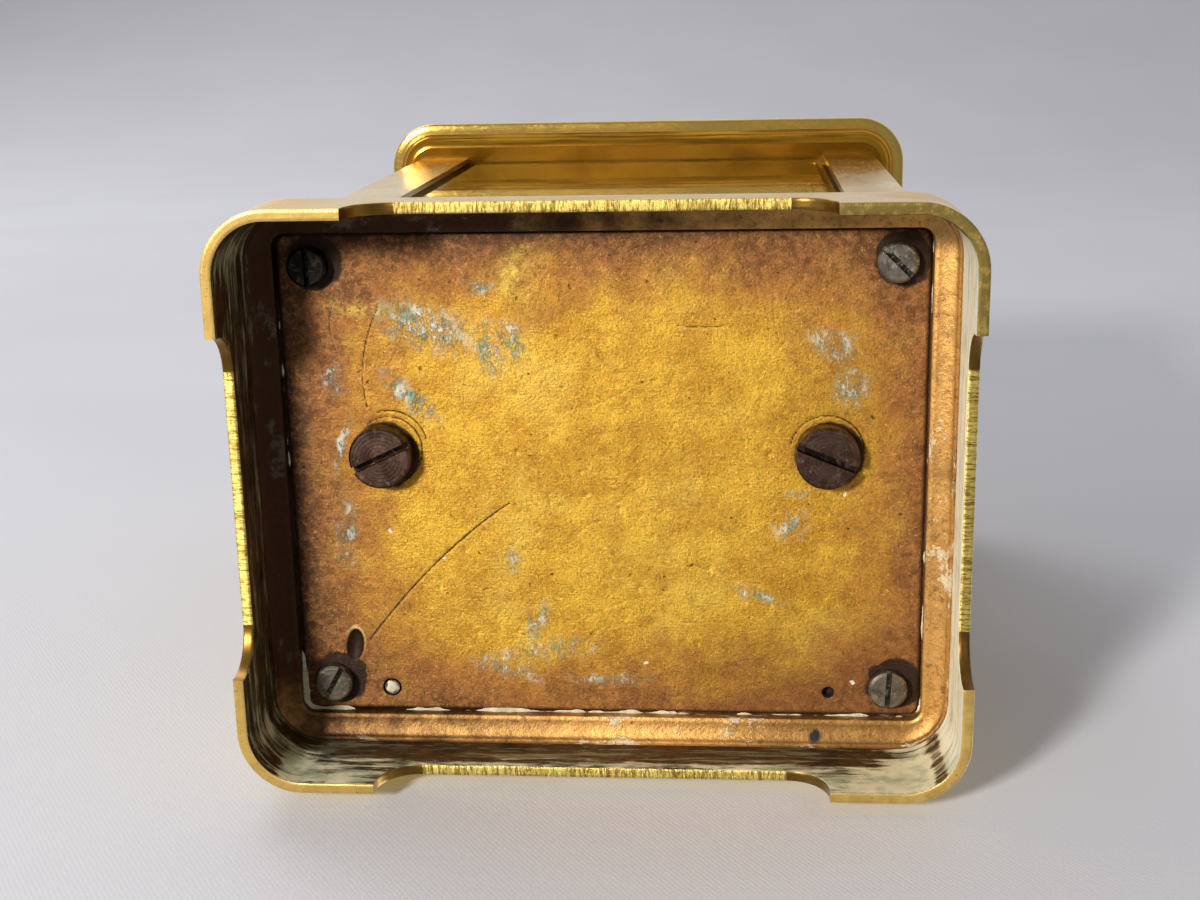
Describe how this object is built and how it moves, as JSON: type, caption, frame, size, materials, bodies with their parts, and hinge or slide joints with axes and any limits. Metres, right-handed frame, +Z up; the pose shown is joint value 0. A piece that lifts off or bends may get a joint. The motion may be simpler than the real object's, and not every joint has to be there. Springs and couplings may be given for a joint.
{
  "type": "carriage clock",
  "caption": "Brass carriage clock with bevelled glasses, folding handle, hinged rear door and key-wound lever platform movement on a hollow bracket-footed base.",
  "frame": {"origin": "middle of the base, in the plane of the feet", "axes": "+Z up, +X to the right as seen from the dial side, -Y towards the dial"},
  "size_m": [0.0822, 0.0672, 0.1159],
  "materials": {
    "gilt_brass": "polished, lacquered",
    "floor_brass": "tarnished, coppery towards the edges",
    "mask_brass": "fine matt gilt",
    "case_screws": "worn steel",
    "bevelled_glass": "clear with a faint green edge",
    "movement_brass": "fine grained",
    "wheel_brass": "polished",
    "balance_metal": "polished",
    "polished_steel": "polished",
    "spring_steel": "tempered",
    "blued_steel": "blued",
    "enamel": "white vitreous enamel"
  },
  "bodies": {
    "case": {"base_moulding": "gilt_brass", "floor_plate": "floor_brass", "pillar_screws": "case_screws", "movement_screws": "case_screws", "front_left_pillar": "gilt_brass", "front_right_pillar": "gilt_brass", "rear_left_pillar": "gilt_brass", "rear_right_pillar": "gilt_brass", "front_glass": "bevelled_glass", "left_glass": "bevelled_glass", "right_glass": "bevelled_glass", "top_cap": "gilt_brass", "top_glass": "bevelled_glass", "handle_posts": "gilt_brass", "handle_pivots": "case_screws", "door_stop": "gilt_brass", "front_plate": "movement_brass", "back_plate": "movement_brass", "movement_pillars": "movement_brass", "plate_screws": "polished_steel", "platform": "movement_brass", "platform_screws": "polished_steel", "balance_cock": "movement_brass", "train_bridge": "movement_brass", "dial": "enamel", "dial_mask": "mask_brass", "click_screw": "polished_steel", "click_spring": "polished_steel", "hairspring": "blued_steel"},
    "handle": {"handle": "gilt_brass"},
    "rear_door": {"door_frame": "gilt_brass", "door_glass": "bevelled_glass", "door_knob": "gilt_brass", "door_hinge_pins": "case_screws"},
    "barrel": {"barrel": "movement_brass", "barrel_cap": "movement_brass", "mainspring": "spring_steel"},
    "winding_arbor": {"barrel_arbor": "polished_steel", "ratchet_wheel": "polished_steel"},
    "click": {"click": "polished_steel"},
    "intermediate": {"intermediate_arbor": "polished_steel", "intermediate_wheel": "wheel_brass"},
    "centre": {"centre_arbor": "polished_steel", "centre_wheel": "wheel_brass"},
    "third": {"third_arbor": "polished_steel", "third_wheel": "wheel_brass"},
    "contrate": {"contrate_arbor": "polished_steel", "contrate_wheel": "wheel_brass"},
    "escape": {"escape_arbor": "polished_steel", "escape_wheel": "wheel_brass"},
    "pallet_lever": {"pallet_lever": "polished_steel"},
    "balance": {"balance_wheel": "balance_metal", "balance_staff": "polished_steel"},
    "hand_arbor": {"hand_arbor": "polished_steel", "cannon_pinion": "polished_steel", "minute_hand": "blued_steel"},
    "minute_wheel": {"minute_wheel": "wheel_brass"},
    "hour_wheel": {"hour_wheel": "wheel_brass", "hour_hand": "blued_steel"}
  },
  "joints": [
    {"name": "handle_swing", "type": "hinge", "parent": "case", "child": "handle", "pos_m": [0, 0, 0.1136], "axis": [1, 0, 0], "range_deg": [0, 180]},
    {"name": "rear_door_hinge", "type": "hinge", "parent": "case", "child": "rear_door", "pos_m": [-0.0254, 0.02535, 0.059], "axis": [0, 0, 1], "range_deg": [0, 100]},
    {"name": "winding_turn", "type": "hinge", "parent": "case", "child": "winding_arbor", "pos_m": [-0.011, -0.0031, 0.0345], "axis": [0, 1, 0], "continuous": true},
    {"name": "click_lift", "type": "hinge", "parent": "case", "child": "click", "pos_m": [-0.0028, 0.0115, 0.0404], "axis": [0, 1, 0], "range_deg": [0, 12], "stiffness_Nm_per_rad": 0.002, "springref_deg": -5.73, "deforming": ["click_spring"]},
    {"name": "contrate_spin", "type": "hinge", "parent": "case", "child": "contrate", "pos_m": [0.008, -0.0031, 0.0695], "axis": [0, 1, 0], "continuous": true},
    {"name": "third_spin", "type": "hinge", "parent": "case", "child": "third", "pos_m": [0.01143, -0.0031, 0.05964], "axis": [0, 1, 0], "continuous": true},
    {"name": "centre_spin", "type": "hinge", "parent": "case", "child": "centre", "pos_m": [0, -0.0031, 0.06], "axis": [0, 1, 0], "continuous": true},
    {"name": "intermediate_spin", "type": "hinge", "parent": "case", "child": "intermediate", "pos_m": [-0.00181, -0.0031, 0.04721], "axis": [0, 1, 0], "continuous": true},
    {"name": "barrel_spin", "type": "hinge", "parent": "case", "child": "barrel", "pos_m": [-0.011, -0.0031, 0.0345], "axis": [0, 1, 0], "continuous": true},
    {"name": "escape_spin", "type": "hinge", "parent": "case", "child": "escape", "pos_m": [0.008, -0.0011, 0.08], "axis": [0, 0, 1], "continuous": true},
    {"name": "lever_swing", "type": "hinge", "parent": "case", "child": "pallet_lever", "pos_m": [0.0031, -0.0011, 0.08], "axis": [0, 0, 1], "range_deg": [-4, 4]},
    {"name": "balance_swing", "type": "hinge", "parent": "case", "child": "balance", "pos_m": [-0.0054, -0.0011, 0.08], "axis": [0, 0, 1], "range_deg": [-150, 150], "stiffness_Nm_per_rad": 0.0000067},
    {"name": "hand_setting", "type": "hinge", "parent": "case", "child": "hand_arbor", "pos_m": [0, -0.0031, 0.06], "axis": [0, 1, 0], "continuous": true},
    {"name": "minute_wheel_spin", "type": "hinge", "parent": "case", "child": "minute_wheel", "pos_m": [-0.00624, -0.0031, 0.0564], "axis": [0, 1, 0], "continuous": true},
    {"name": "hour_wheel_spin", "type": "hinge", "parent": "case", "child": "hour_wheel", "pos_m": [0, -0.0031, 0.06], "axis": [0, 1, 0], "continuous": true}
  ],
  "couplings": [
    {"joint": "escape_spin", "follows": "contrate_spin", "ratio": 7.5},
    {"joint": "third_spin", "follows": "contrate_spin", "ratio": -0.125},
    {"joint": "centre_spin", "follows": "contrate_spin", "ratio": 0.0125},
    {"joint": "intermediate_spin", "follows": "contrate_spin", "ratio": -0.0023438},
    {"joint": "barrel_spin", "follows": "contrate_spin", "ratio": 0.00039063},
    {"joint": "minute_wheel_spin", "follows": "hand_setting", "ratio": -0.33333},
    {"joint": "hour_wheel_spin", "follows": "hand_setting", "ratio": 0.083333}
  ]
}
